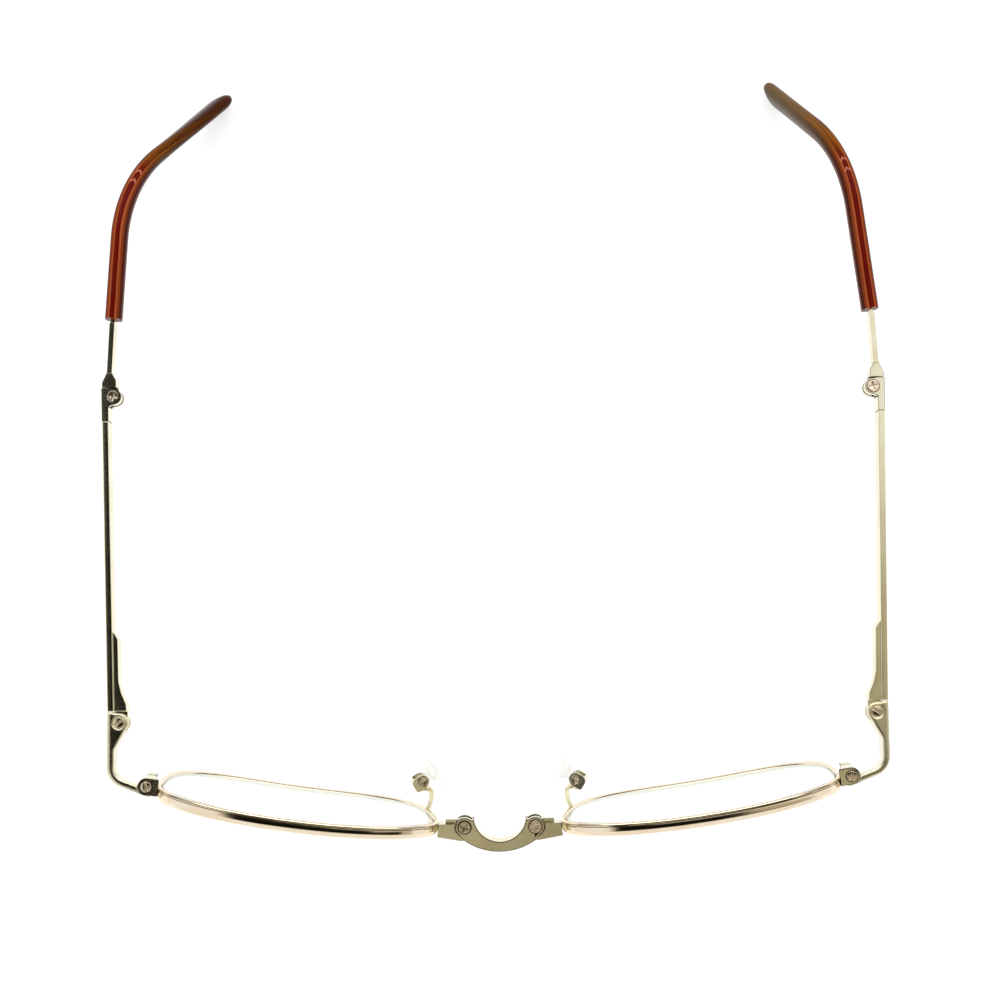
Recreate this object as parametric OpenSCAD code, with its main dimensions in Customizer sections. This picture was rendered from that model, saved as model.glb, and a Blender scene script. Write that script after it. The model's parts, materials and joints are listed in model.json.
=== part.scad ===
// Folding reading glasses: metal rims, folding bridge, folding temples, screwed nose pads.
// Lengths are millimetres and angles are degrees. The glasses stand open on a table, at z = 0.
// The lenses look along -Y and the temples run along +Y. X = 0 is the plane of symmetry.
// Each sub-part is drawn for the side at +X, and the one at -X is its mirror image.

/* [Lenses and rims] */
// Width of each lens
lens_w = 46; // [42:0.1:52]
// Height of each lens
lens_h = 28.4; // [24:0.1:34]
// Squareness of the lens outline, where 2 is an ellipse
lens_square = 3.1; // [2.4:0.1:3.6]
// How far the nasal side of a lens leans away from the nose, from its top to its bottom
nasal_lean = 6; // [2:0.1:7]
// Thickness of each lens
lens_t = 1.8; // [1.4:0.1:2.0]
// Radius of the curve that the lenses and rims follow
curve_r = 180; // [140:1:240]
// Width of the rim wire, seen from the front
rim_wall = 1.1; // [0.9:0.05:1.6]
// Depth of the rim wire, from front to back
rim_depth = 2.2; // [2.0:0.05:2.8]
// Depth of the groove in the rim that holds the edge of the lens
groove_depth = 0.4; // [0.3:0.05:0.5]
// Width of that groove
groove_w = 0.9; // [0.6:0.05:1.1]
// Gap between the lens and the rim all round
lens_gap = 0.03; // [0.01:0.01:0.05]

/* [Front] */
// Clear distance between the two rims at the nose
rim_spacing = 21.2; // [19:0.1:24]
// Angle by which each rim wraps round the face
wrap = 8.3; // [4:0.1:10]
// Lean of the front, with the lower rims nearer to the cheeks
front_lean = 7; // [4:0.5:9]
// Height of the bridge hinges above the middle of the lenses
bridge_rise = 5.5; // [4:0.1:7]
// Distance from the bridge screws back to the middle of a lens
rim_setback = 1.7; // [1.2:0.1:2.2]
// Height at which the rims stand over the table, for the lean of their lower edges
rim_seat = 0.1; // [0.1:0.01:0.2]

/* [Bridge] */
// Distance between the two bridge screws
bridge_pitch = 12; // [11:0.1:13]
// Height of the bridge
bridge_h = 3.6; // [3.2:0.1:4.4]
// Radius of the round ends of the bridge
bridge_end_r = 1.6; // [1.5:0.05:1.8]
// Reach of the bridge in front of its screws
bridge_reach = 4.25; // [4:0.05:4.8]
// Thickness of the bar of the bridge at its middle
bar_t = 1.7; // [1.4:0.05:2.0]
// Radius of the front of the bar
bar_front_r = 10.5; // [10:0.1:12]
// Radius of the hollow behind the bar
bar_back_r = 4.45; // [4.2:0.05:4.6]
// Height of each tongue that turns in a hinge
tongue_h = 1.0; // [0.8:0.05:1.2]
// Height of the lug that joins a tongue to its rim
lug_h = 3.0; // [2.6:0.1:3.2]

/* [Hinges] */
// Gap between moving faces of a hinge
hinge_gap = 0.1; // [0.08:0.01:0.12]
// Gap round a screw in the pieces that turn on it
turn_gap = 0.04; // [0.02:0.01:0.06]
// Gap round a screw in the piece that it is threaded into
thread_gap = 0.02; // [0.01:0.01:0.03]
// Radius of the shank of the larger screws
screw_r = 0.55; // [0.5:0.01:0.6]
// Radius of the heads of the bridge and fold screws
big_head_r = 1.05; // [1:0.01:1.1]
// Radius of the heads of the other screws
small_head_r = 0.9; // [0.8:0.01:0.95]
// Height of a screw head
head_h = 0.55; // [0.5:0.01:0.7]
// How deep a screw head is sunk
sink = 0.4; // [0.35:0.01:0.45]
// Width of the slot or cross in a screw head
drive_w = 0.28; // [0.2:0.01:0.35]
// Depth of that slot or cross
drive_deep = 0.25; // [0.2:0.01:0.3]

/* [Rim locks and end pieces] */
// Height of the cut through the rim above the middle of the lens
lock_rise = 4.5; // [3.5:0.1:5.5]
// Width of that cut
lock_cut = 0.2; // [0.15:0.01:0.3]
// Radius of the round outer end of a rim lock
lock_r = 1.45; // [1.4:0.05:1.6]
// Height of the upper half of a rim lock
lock_upper_h = 3.5; // [3.4:0.1:4]
// Height of the lower half of a rim lock
lock_lower_h = 2.2; // [2:0.1:2.6]
// Distance from the outer edge of a rim out to its lock screw
lock_out = 0.9; // [0.9:0.1:1.4]
// Distance from the middle of a lens back to its lock screw
lock_back = 2.6; // [2.4:0.1:3]
// Distance from a lock screw forward to the middle of the end piece
end_front = 1.1; // [0.9:0.05:1.2]
// Radius outside the corner of an end piece
corner_r = 3.4; // [3:0.1:4]
// Distance from the bridge screws back to the middle of that corner
corner_back = 10.8; // [10.6:0.1:11.2]
// How far an end piece runs on past the lock screw
end_lap = 1.1; // [0.8:0.1:1.3]

/* [Temples] */
// Distance from a lock screw out to the outer face of the temple
temple_out = 6.6; // [6:0.1:7.2]
// Thickness of the flat temple wire
arm_t = 1.15; // [1:0.05:1.3]
// Height of the flat temple wire
arm_h = 3.2; // [3:0.1:3.4]
// Distance from the outer face of a temple in to its hinge screw
hinge_in = 1.9; // [1.8:0.05:2.0]
// Distance from the bridge screws back to the temple hinge screws
hinge_back = 18.3; // [17:0.1:20]
// Radius of the round ears of a temple hinge
ear_r = 1.6; // [1.5:0.05:1.65]
// Length of the leaf that carries the tongue of a temple hinge
leaf_l = 13.4; // [12:0.1:15]
// Thickness of that leaf
leaf_t = 0.9; // [0.8:0.05:1.1]
// How much lower that leaf is than the temple
leaf_trim = 0.3; // [0.2:0.05:0.4]
// Distance from the bridge screws back to the fold screws
fold_back = 74; // [70:0.5:80]
// Distance from the outer face of a temple in to its fold screw
fold_in = 2.0; // [1.95:0.05:2.1]
// Radius of the round ears of a fold hinge
fold_r = 1.4; // [1.35:0.01:1.42]
// Length of the fork of a fold hinge, in front of its screw
fork_l = 4.2; // [3.6:0.1:5]
// Extra height of the fork over the temple wire
fork_extra = 0.2; // [0:0.05:0.4]
// Length of the block behind the gap of a fold hinge
block_l = 2.5; // [2.2:0.1:3]
// Thickness of the flat wire behind the fold hinge
rear_t = 0.9; // [0.8:0.05:1.0]
// Height of that wire
rear_h = 2.6; // [2.2:0.1:2.8]
// Distance from a fold screw out to the inner face of that wire
rear_out = 0.2; // [0.1:0.05:0.3]
// Angle by which the open temples spread towards their rear
temple_splay = 1.3; // [0:0.1:1.5]

/* [Temple tips] */
// Distance from a fold screw back to the front of the tip
tip_back = 13; // [11:0.1:15]
// Length of the straight front part of the tip at -X
run_left = 15; // [14:0.5:20]
// Length of the straight front part of the tip at +X
run_right = 19; // [14:0.5:20]
// Length over which a tip bends
tip_bend = 19; // [16:0.5:20]
// Angle by which the tip at -X bends down
drop_angle_left = 40; // [38:1:50]
// Angle by which the tip at +X bends down
drop_angle_right = 47; // [38:1:50]
// Angle between the straight part of the tip at -X and the temple
yaw_angle_left = 5; // [3:0.5:8]
// Angle between the straight part of the tip at +X and the temple
yaw_angle_right = 8; // [3:0.5:8]
// Angle between the end of the tip at -X and the temple, seen from above
turn_angle_left = 35; // [20:0.5:36]
// Angle between the end of the tip at +X and the temple, seen from above
turn_angle_right = 29; // [20:0.5:36]
// Thickness of a tip at its front
tip_t = 2.9; // [2.6:0.05:3]
// Height of a tip at its front
tip_h = 4.0; // [3.6:0.1:4.4]
// Thickness of the paddle at the end of a tip
paddle_t = 2.6; // [2.2:0.1:2.8]
// Height of the paddle at the end of a tip
paddle_h = 5.8; // [5:0.1:6.5]
// Length of the rounded end of a tip
tip_round = 3.4; // [2.5:0.1:4]
// Roll of the paddle of the tip at -X
roll_angle_left = 34; // [0:1:40]
// Roll of the paddle of the tip at +X
roll_angle_right = 10; // [0:1:40]
// How far the core wire runs into a tip
core_l = 25; // [20:0.5:27]
// Thickness of the core wire
core_t = 0.7; // [0.5:0.05:0.9]
// Height of the core wire
core_h = 1.8; // [1.5:0.1:2.4]
// Gap between the core wire and the tip
core_gap = 0.03; // [0.01:0.01:0.05]

/* [Nose pads] */
// Height of a nose pad
pad_h = 13.4; // [12:0.1:15]
// Width of a nose pad
pad_w = 7.4; // [6.5:0.1:8]
// Thickness of a nose pad
pad_t = 2.2; // [1.8:0.1:2.4]
// Distance from the plane of symmetry to a pad screw
pad_out = 13.6; // [13:0.1:14.2]
// Distance from the bridge screws back to a pad screw
pad_back = 6.2; // [6:0.1:6.8]
// Height of a pad screw below the bridge screws
pad_below = 9; // [8:0.1:10]
// Angle by which a pad opens towards the face
pad_splay = 31; // [28:1:34]
// Angle by which the foot of a pad stands away from the nose
pad_flare = 12; // [8:1:15]
// Distance from a pad screw to the back of its pad
pad_standoff = 1.7; // [1.6:0.05:1.9]
// Thickness of the walls of a pad box
box_wall = 0.45; // [0.4:0.05:0.6]
// Height of the lug of a pad in its box
pad_lug_h = 2.0; // [1.8:0.1:2.4]
// Radius of a pad screw
pad_screw_r = 0.4; // [0.35:0.01:0.45]
// Radius of the head of a pad screw
pad_head_r = 0.85; // [0.75:0.01:0.9]
// Radius of the wire of a pad arm
pad_wire_r = 0.45; // [0.4:0.01:0.5]
// Radius of the round end of a pad box
box_r = 1.15; // [1.05:0.05:1.25]
// Depth of a pad box behind its screw
box_deep = 1.75; // [1.6:0.05:1.9]
// Radius of the round lug of a pad
pad_lug_r = 0.85; // [0.75:0.05:0.95]
// Thickness of the neck between that lug and its foot
pad_neck = 1.4; // [1.2:0.1:1.5]
// Radius of the foot of the lug, which is moulded into the pad
foot_r = 1.5; // [1.2:0.1:1.8]
// Thickness of that foot
foot_t = 0.6; // [0.5:0.05:0.8]

/* [Hidden] */

metal = "#cfc4a2";
screw_metal = "#b9ad8c";

// Numbers of points, and of facets, that the curves are drawn with
outline_points = 96;
curve_fn = 180;
arc_fn = 96;
round_fn = 48;
// Length of a cut that goes right through
through = 20;
// How far shapes run into each other where they are joined, or inside a round that they leave
seam = 0.1;

// Points of a rounded oblong whose side at -X leans, w wide and h high
function flat_power(v, p) = sign(v) * pow(abs(v), p);
function outline(w, h) = [
  for (i = [0 : outline_points - 1])
    let (a = 360 * i / outline_points)
    let (x = w / 2 * flat_power(cos(a), 2 / lens_square))
    let (z = h / 2 * flat_power(sin(a), 2 / lens_square))
    [x - nasal_lean * (0.5 - x / w) * z / h, z]
];
function oval(w, h, e) = [
  for (i = [0 : round_fn - 1])
    let (a = 360 * i / round_fn)
    [w / 2 * flat_power(cos(a), 2 / e), h / 2 * flat_power(sin(a), 2 / e)]
];

// The rims stand on the table, and the nearest points of the two are rim_spacing apart
rim_w = lens_w + 2 * rim_wall;
rim_h = lens_h + 2 * rim_wall;
rim_reach = max([for (p = outline(rim_w, rim_h)) -p[0]]);
rim_x = rim_spacing / 2 + rim_reach * cos(wrap);
rim_low = bridge_rise + rim_h / 2;
bridge_z = rim_low * cos(front_lean) + rim_seat;
bridge_x = bridge_pitch / 2;
slot_h = tongue_h + 2 * hinge_gap;

// Rim lock, in the frame of the rim, and the height of the temples, which it sets
lock_upper_z = lock_rise + lock_cut / 2;
lock_lower_z = lock_rise - lock_cut / 2 - lock_lower_h;
lock_mid = lock_upper_z + lock_upper_h / 2 - bridge_rise;
lock_reach = rim_w / 2 + lock_out;
lock_x = rim_x + lock_reach * cos(wrap) - lock_back * sin(wrap);
lock_y = rim_setback + lock_reach * sin(wrap) + lock_back * cos(wrap);
temple_z = bridge_z + lock_y * sin(front_lean) + lock_mid * cos(front_lean);

// Temple line, and the butts and gaps of its two hinges
arm_x = lock_x + temple_out;
hinge_x = arm_x - hinge_in;
fold_x = arm_x - fold_in;
arm_inner = hinge_in - arm_t;
butt_y = ear_r + 0.3;
fold_gap_y = fold_r + 0.25;
fork_h = arm_h + fork_extra;

// The front part of an end piece runs past the front of the lock and meets the corner's round
corner = [arm_x - corner_r, corner_back];
lock_to_corner = corner - [lock_x, lock_y * cos(front_lean) - lock_mid * sin(front_lean)];
corner_aim = asin((corner_r - arm_t / 2 - end_front) / norm(lock_to_corner));
end_angle = atan2(lock_to_corner[1], lock_to_corner[0]) - corner_aim;
end_run = norm(lock_to_corner) * cos(corner_aim) + end_lap;

// How each tip is bent at fitting: its straight run, drop, yaw, turn and roll
bent_left = [run_left, drop_angle_left, yaw_angle_left, turn_angle_left, roll_angle_left];
bent_right = [run_right, drop_angle_right, yaw_angle_right, turn_angle_right, roll_angle_right];

// Direction, height axis and side axis of a tip of bend b at s along its middle line
function bend_share(s, b) = min(1, max(0, (s - b[0]) / tip_bend));
function tip_pitch(s, b) = b[1] * bend_share(s, b);
function tip_heading(s, b) = b[2] + (b[3] - b[2]) * bend_share(s, b);
function along(p, q) = [-sin(q) * cos(p), cos(q) * cos(p), -sin(p)];
function upward(p, q) = [-sin(q) * sin(p), cos(q) * sin(p), cos(p)];
function sideways(q) = [cos(q), sin(q), 0];

// Half size of the end of a tip along axis k, with the temple spread
function end_reach(b, k) =
  let (q = b[3] - temple_splay)
  let (w = sideways(q) * cos(b[4]) + upward(b[1], q) * sin(b[4]))
  let (u = upward(b[1], q) * cos(b[4]) - sideways(q) * sin(b[4]))
  norm([tip_round * along(b[1], q)[k], paddle_t / 2 * w[k], paddle_h / 2 * u[k]]);

// The end of a tip rests on the table, which sets the length of its last straight part
function bend_fall(b) = tip_bend / (b[1] * PI / 180) * (1 - cos(b[1]));
function tip_l(b) = b[0] + tip_bend + (temple_z - bend_fall(b) - end_reach(b, 2)) / sin(b[1]);
tip_steps = 24;
tip_sides = 20;
tip_square = 2.4;
cap_angles = [16, 32, 48, 62, 74, 84];
core_steps = 14;
tip_start = [fold_x, fold_back + tip_back, temple_z];
function tip_point(i, n, l, b) = i == 0
  ? tip_start
  : tip_point(i - 1, n, l, b)
    + l / n * along(tip_pitch((i - 0.5) * l / n, b), tip_heading((i - 0.5) * l / n, b));
function tip_end(b) = tip_point(tip_steps, tip_steps, tip_l(b), b);

// The whole is centred from front to back
front_end = bridge_reach * cos(front_lean) + bridge_h / 2 * sin(front_lean);
function spread_y(p) = hinge_back
  + (p[1] - hinge_back) * cos(temple_splay) - (p[0] - hinge_x) * sin(temple_splay);
rear_end = max([for (b = [bent_left, bent_right]) spread_y(tip_end(b)) + end_reach(b, 1)]);
middle_y = (rear_end - front_end) / 2;

module right() translate([0, -middle_y, 0]) children();
module left() mirror([1, 0, 0]) right() children();
module spread() translate([hinge_x, hinge_back, 0]) rotate([0, 0, -temple_splay])
  translate([-hinge_x, -hinge_back, 0]) children();
module at_front() translate([0, 0, bridge_z]) rotate([front_lean, 0, 0]) children();
module at_rim() at_front() translate([rim_x, rim_setback, -bridge_rise]) rotate([0, 0, wrap]) children();
module at_bridge_screw() at_front() translate([bridge_x, 0, 0]) children();
module at_lock() at_rim() translate([lock_reach, lock_back, 0]) children();
module at_hinge() translate([hinge_x, hinge_back, temple_z]) children();
module at_fold() translate([fold_x, fold_back, temple_z]) children();
module at_pad() at_front() translate([pad_out, pad_back, -pad_below])
  rotate([0, -pad_flare, 0]) rotate([0, 0, -pad_splay]) children();

// A slab of height h about z = 0, and a bore along Z
module slab(h) translate([0, 0, -h / 2]) linear_extrude(height = h) children();
module bore(r) cylinder(r = r, h = through, center = true, $fn = round_fn);

// Seat for a screw that turns in the piece above z = 0 and is threaded into the one below
module screw_seat(shank_r, head_r, head_z) {
  bore(shank_r + thread_gap);
  cylinder(r = shank_r + turn_gap, h = through, $fn = round_fn);
  translate([0, 0, head_z]) cylinder(r = head_r + turn_gap, h = through, $fn = round_fn);
}

// A prism along Y from an outline in X and Z
module prism(points, depth = through) rotate([90, 0, 0])
  linear_extrude(height = depth, center = true) polygon(points);

// The curved layer from a in front to b behind, about the middle of the rim
module layer(a, b) translate([0, curve_r, 0]) difference() {
  sphere(r = curve_r - a, $fn = curve_fn);
  sphere(r = curve_r - b, $fn = curve_fn);
}
module curved(points, t) intersection() {
  prism(points);
  layer(-t / 2, t / 2);
}

// A pan-head screw that points down, with its head seated at z = 0 and its slot or cross turned
module screw(shank_r, head_r, length, cross, turn) rotate([0, 0, turn]) difference() {
  union() {
    translate([0, 0, -length]) cylinder(r = shank_r, h = length + head_h / 2, $fn = round_fn);
    cylinder(r = head_r, h = head_h, $fn = round_fn);
  }
  for (a = cross ? [0, 90] : [0]) rotate([0, 0, a]) translate([0, 0, head_h])
    cube([head_r * (cross ? 1.5 : 2.1), drive_w, 2 * drive_deep], center = true);
}

// Bridge. Its outer edge, from stop_foot along stop_along, is where the wedge of a lug stops
stop_angle = 60;
stop_l = 2.4;
stop_foot = [bridge_x + seam, -2.6];
stop_along = [cos(stop_angle), sin(stop_angle)];
stop_away = [sin(stop_angle), -cos(stop_angle)];
bar_behind = 1.2;
module bar_front(grow) translate([0, bar_front_r - bridge_reach])
  circle(r = bar_front_r + grow, $fn = arc_fn);
module bar_side(behind) polygon([
  [-seam, behind], [-seam, -2 * bridge_reach], stop_foot - bridge_reach * stop_along,
  stop_foot + stop_l * stop_along, [bridge_x, behind]
]);
module bridge_plan() {
  difference() {
    intersection() {
      bar_front(0);
      for (s = [0, 1]) mirror([s, 0]) bar_side(bar_behind);
    }
    translate([0, bar_back_r + bar_t - bridge_reach]) circle(r = bar_back_r, $fn = arc_fn);
  }
  for (s = [-1, 1]) translate([s * bridge_x, 0]) circle(r = bridge_end_r, $fn = round_fn);
}
module bridge() color(metal) at_front() difference() {
  slab(bridge_h) bridge_plan();
  for (s = [-1, 1]) translate([s * bridge_x, 0, 0]) {
    slab(slot_h) circle(r = bridge_end_r + hinge_gap, $fn = round_fn);
    screw_seat(screw_r, big_head_r, bridge_h / 2 - sink);
  }
}
module bridge_screw() color(screw_metal) at_bridge_screw() translate([0, 0, bridge_h / 2 - sink])
  screw(screw_r, big_head_r, bridge_h - sink, true, 25);

// Lug from the bridge hinge to the rim, with the wedge that stops the hinge when it is open
lug_run = rim_spacing / 2 - bridge_x + 2;
lug_front = 2.4;
lug_end_front = 1.6;
lug_end_back = 0.5;
module bridge_lug() color(metal) difference() {
  union() {
    at_bridge_screw() slab(tongue_h) {
      circle(r = bridge_end_r - seam, $fn = round_fn);
      translate([0, -0.7 * bridge_end_r]) square([2 * bridge_end_r, 1.4 * bridge_end_r]);
    }
    at_bridge_screw() difference() {
      slab(lug_h) polygon([
        [0, 0], [0, seam - lug_front], [0.5, -lug_front], [0.75 * lug_run, -lug_end_front],
        [lug_run, -lug_end_front], [lug_run, lug_end_back], [bridge_end_r + seam, lug_end_back]
      ]);
      bore(bridge_end_r + hinge_gap);
    }
  }
  at_bridge_screw() bore(screw_r + turn_gap);
  at_rim() prism(outline(rim_w, rim_h));
  at_front() slab(bridge_h) intersection() {
    bar_front(hinge_gap);
    translate(hinge_gap * stop_away) bar_side(2 * bar_behind);
  }
}

// Rim and lens
module rim() color(metal) at_rim() difference() {
  curved(outline(rim_w, rim_h), rim_depth);
  prism(outline(lens_w, lens_h));
  curved(outline(lens_w + 2 * groove_depth, lens_h + 2 * groove_depth), groove_w);
  translate([lens_w / 2, 0, lock_rise]) cube([4 * rim_wall, through, lock_cut], center = true);
}
module lens() color("#e6efe2", 0.4) at_rim() union() {
  curved(outline(lens_w - 2 * lens_gap, lens_h - 2 * lens_gap), lens_t);
  curved(outline(lens_w + 2 * (groove_depth - lens_gap), lens_h + 2 * (groove_depth - lens_gap)),
    groove_w - 2 * lens_gap);
}

// Rim lock: two halves that a screw draws together
module lock_plan() {
  circle(r = lock_r, $fn = round_fn);
  translate([-2.4 * lock_r, -lock_r]) square([2.4 * lock_r, 2 * lock_r]);
}
module lock_half(z, h) difference() {
  at_lock() translate([0, 0, z]) linear_extrude(height = h) lock_plan();
  at_rim() prism(outline(rim_w, rim_h));
}
module rim_lock_upper() color(metal) difference() {
  lock_half(lock_upper_z, lock_upper_h);
  at_lock() bore(screw_r + turn_gap);
  at_lock() translate([0, 0, lock_upper_z + lock_upper_h - sink])
    cylinder(r = small_head_r + turn_gap, h = through, $fn = round_fn);
}
module rim_lock_lower() color(metal) difference() {
  lock_half(lock_lower_z, lock_lower_h);
  at_lock() bore(screw_r + thread_gap);
}
module rim_lock_screw() color(screw_metal) at_lock()
  translate([0, 0, lock_upper_z + lock_upper_h - sink])
  screw(screw_r, small_head_r, lock_upper_h - sink + lock_cut + lock_lower_h, false, 70);

// End piece: a bent strip from the rim lock to the two ears of the temple hinge
ear_flank = 4.6;
flank_angle = 20;
corner_steps = 12;
end_rear = hinge_back + butt_y - hinge_gap;
end_along = [cos(end_angle), sin(end_angle)];
function corner_point(r, i) =
  let (a = (90 - end_angle) * (i / corner_steps - 1))
  corner + r * [cos(a), sin(a)];
module end_piece_plan() {
  polygon(concat(
    [corner_point(corner_r, 0) - end_run * end_along],
    [for (i = [0 : corner_steps]) corner_point(corner_r, i)],
    [[arm_x, end_rear], [arm_x - arm_t, end_rear]],
    [for (i = [corner_steps : -1 : 0]) corner_point(corner_r - arm_t, i)],
    [corner_point(corner_r - arm_t, 0) - end_run * end_along]
  ));
  translate([hinge_x, hinge_back]) {
    circle(r = ear_r, $fn = round_fn);
    polygon([
      [arm_inner, ear_r], [0, ear_r], ear_r * [-cos(flank_angle), -sin(flank_angle)],
      [arm_inner, -ear_flank]
    ]);
  }
}
module end_piece() color(metal) difference() {
  translate([0, 0, temple_z]) slab(arm_h) end_piece_plan();
  at_hinge() {
    slab(slot_h) circle(r = ear_r + hinge_gap, $fn = round_fn);
    screw_seat(screw_r, small_head_r, arm_h / 2 - sink);
  }
  lock_half(lock_upper_z - lock_r, lock_upper_h + 2 * lock_r);
  at_rim() prism(outline(rim_w, rim_h));
}
module temple_hinge_screw() color(screw_metal) at_hinge() translate([0, 0, arm_h / 2 - sink])
  screw(screw_r, small_head_r, arm_h - sink, false, -35);

// Temple, from its hinge to the fork of its fold hinge
module temple() color(metal)
  translate([arm_x - arm_t, hinge_back + butt_y, temple_z - arm_h / 2])
  cube([arm_t, fold_back - fork_l - hinge_back - butt_y, arm_h]);

// Leaf soldered inside the temple, with the tongue that turns between the ears
leaf_in = arm_inner - leaf_t;
leaf_taper = 1.2;
knuckle_l = 5;
knuckle_in = 1.45;
module leaf_plan() polygon([
  [arm_inner, butt_y], [arm_inner, butt_y + leaf_l], [arm_inner - leaf_t / 4, butt_y + leaf_l],
  [leaf_in, butt_y + leaf_l - leaf_taper], [leaf_in, butt_y + knuckle_l],
  [leaf_in - leaf_t / 2, butt_y + 0.6 * knuckle_l], [seam - knuckle_in, butt_y + leaf_taper],
  [-knuckle_in, 0], [0, 0]
]);
module temple_hinge_leaf() color(metal) at_hinge() difference() {
  union() {
    difference() {
      slab(arm_h - leaf_trim) leaf_plan();
      cube([4 * ear_r, 2 * butt_y, through], center = true);
    }
    slab(tongue_h) {
      circle(r = ear_r - seam, $fn = round_fn);
      intersection() {
        leaf_plan();
        translate([-knuckle_in, 0]) square([knuckle_in + arm_inner, butt_y + leaf_taper]);
      }
    }
  }
  bore(screw_r + turn_gap);
}

// Fold hinge: the fork on the temple, its screw, and the tongue on the rear part
fork_in = fold_in - arm_t;
fork_rear = fold_gap_y - hinge_gap;
tongue_in = 0.7;
tongue_out = 0.9;
slot_reach = 2 * fold_r;
module fork_plan() {
  circle(r = fold_r, $fn = round_fn);
  polygon([
    [-seam, seam / 2 - fold_r], [fork_in, -1.2 * fold_r], [fork_in, -fork_l], [fold_in, -fork_l],
    [fold_in, fork_rear], [fold_in - fold_r, fork_rear], [-seam, fold_r - seam / 2]
  ]);
}
module fold_fork() color(metal) at_fold() difference() {
  slab(fork_h) fork_plan();
  slab(slot_h) {
    circle(r = fold_r + hinge_gap, $fn = round_fn);
    translate([-slot_reach, 0]) square([slot_reach + tongue_out + 3 * hinge_gap, slot_reach]);
    translate([-slot_reach, -slot_reach]) square([slot_reach + tongue_in, slot_reach]);
  }
  screw_seat(screw_r, big_head_r, fork_h / 2 - sink);
}
module fold_screw() color(screw_metal) at_fold() translate([0, 0, fork_h / 2 - sink])
  screw(screw_r, big_head_r, fork_h - sink, true, 15);
block_in = 0.5;
block_out = fold_in - seam;
module fold_tongue() color(metal) at_fold() difference() {
  union() {
    slab(arm_h - 2 * seam) polygon([
      [-block_in, fold_gap_y], [block_out, fold_gap_y], [block_out, fold_gap_y + block_l / 3],
      [rear_out + rear_t, fold_gap_y + block_l], [rear_out, fold_gap_y + block_l],
      [-block_in, fold_gap_y + block_l / 2]
    ]);
    slab(tongue_h) {
      circle(r = fold_r - seam / 2, $fn = round_fn);
      translate([-tongue_in, 0]) square([tongue_in + tongue_out, fold_gap_y]);
    }
  }
  bore(screw_r + turn_gap);
}

// Sweep with one ring of points for each place along a path
module sweep(rings) {
  n = len(rings[0]);
  m = len(rings);
  polyhedron(
    points = [for (r = rings) for (p = r) p],
    faces = concat(
      [[for (i = [n - 1 : -1 : 0]) i]],
      [[for (i = [0 : n - 1]) (m - 1) * n + i]],
      [for (j = [0 : m - 2]) for (i = [0 : n - 1])
        [j * n + i, j * n + (i + 1) % n, (j + 1) * n + i]],
      [for (j = [0 : m - 2]) for (i = [0 : n - 1])
        [j * n + (i + 1) % n, (j + 1) * n + (i + 1) % n, (j + 1) * n + i]]
    )
  );
}

// Ring at c with half sizes a across and b up, turned by the roll
function ring(c, p, q, roll, a, b, n, e) =
  let (w = sideways(q) * cos(roll) + upward(p, q) * sin(roll))
  let (u = upward(p, q) * cos(roll) - sideways(q) * sin(roll))
  [for (i = [0 : n - 1]) let (t = 360 * (i + 0.5) / n)
    c + w * a * flat_power(cos(t), 2 / e) + u * b * flat_power(sin(t), 2 / e)];
function swell(s, b) =
  let (k = min(1, max(0, (s - b[0]) / (tip_l(b) - b[0] - 4))))
  k * k * (3 - 2 * k);
function tip_ring(i, b) =
  let (s = i * tip_l(b) / tip_steps)
  ring(tip_point(i, tip_steps, tip_l(b), b), tip_pitch(s, b), tip_heading(s, b), b[4] * swell(s, b),
    (tip_t + (paddle_t - tip_t) * swell(s, b)) / 2, (tip_h + (paddle_h - tip_h) * swell(s, b)) / 2,
    tip_sides, tip_square);
function cap_ring(a, b) =
  ring(tip_end(b) + tip_round * sin(a) * along(b[1], b[3]), b[1], b[3], b[4],
    paddle_t / 2 * cos(a), paddle_h / 2 * cos(a), tip_sides, tip_square);
function strip_ring(c, p, q, t, h) = ring(c, p, q, 0, t / sqrt(2), h / sqrt(2), 4, 2);
module core(t, h, extra, b) {
  function core_ring(c, s) = strip_ring(c, tip_pitch(s, b), tip_heading(s, b), t, h);
  function core_point(i) = tip_point(i, core_steps, core_l, b);
  function core_past(e) = e * along(tip_pitch(core_l, b), tip_heading(core_l, b));
  sweep(concat(
    [core_ring(tip_start - (extra + seam) * along(0, b[2]), 0)],
    [for (i = [1 : core_steps]) core_ring(core_point(i), i * core_l / core_steps)],
    extra > 0 ? [core_ring(core_point(core_steps) + core_past(extra), core_l)] : []
  ));
}
module temple_tip(b) color("#7a3414") difference() {
  sweep(concat(
    [for (i = [0 : tip_steps]) tip_ring(i, b)],
    [for (a = cap_angles) cap_ring(a, b)]
  ));
  core(core_t + 2 * core_gap, core_h + 2 * core_gap, core_gap, b);
}

// Flat wire from the fold hinge to the tip, with the core that runs on inside the tip
rear_start = [fold_x + rear_out + rear_t / 2, fold_back + fold_gap_y + block_l, temple_z];
module rear_wire(b) color(metal) {
  sweep([
    strip_ring(rear_start, 0, 0, rear_t, rear_h),
    strip_ring(tip_start, 0, b[2], rear_t, rear_h)
  ]);
  core(core_t, core_h, 0, b);
}

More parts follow.
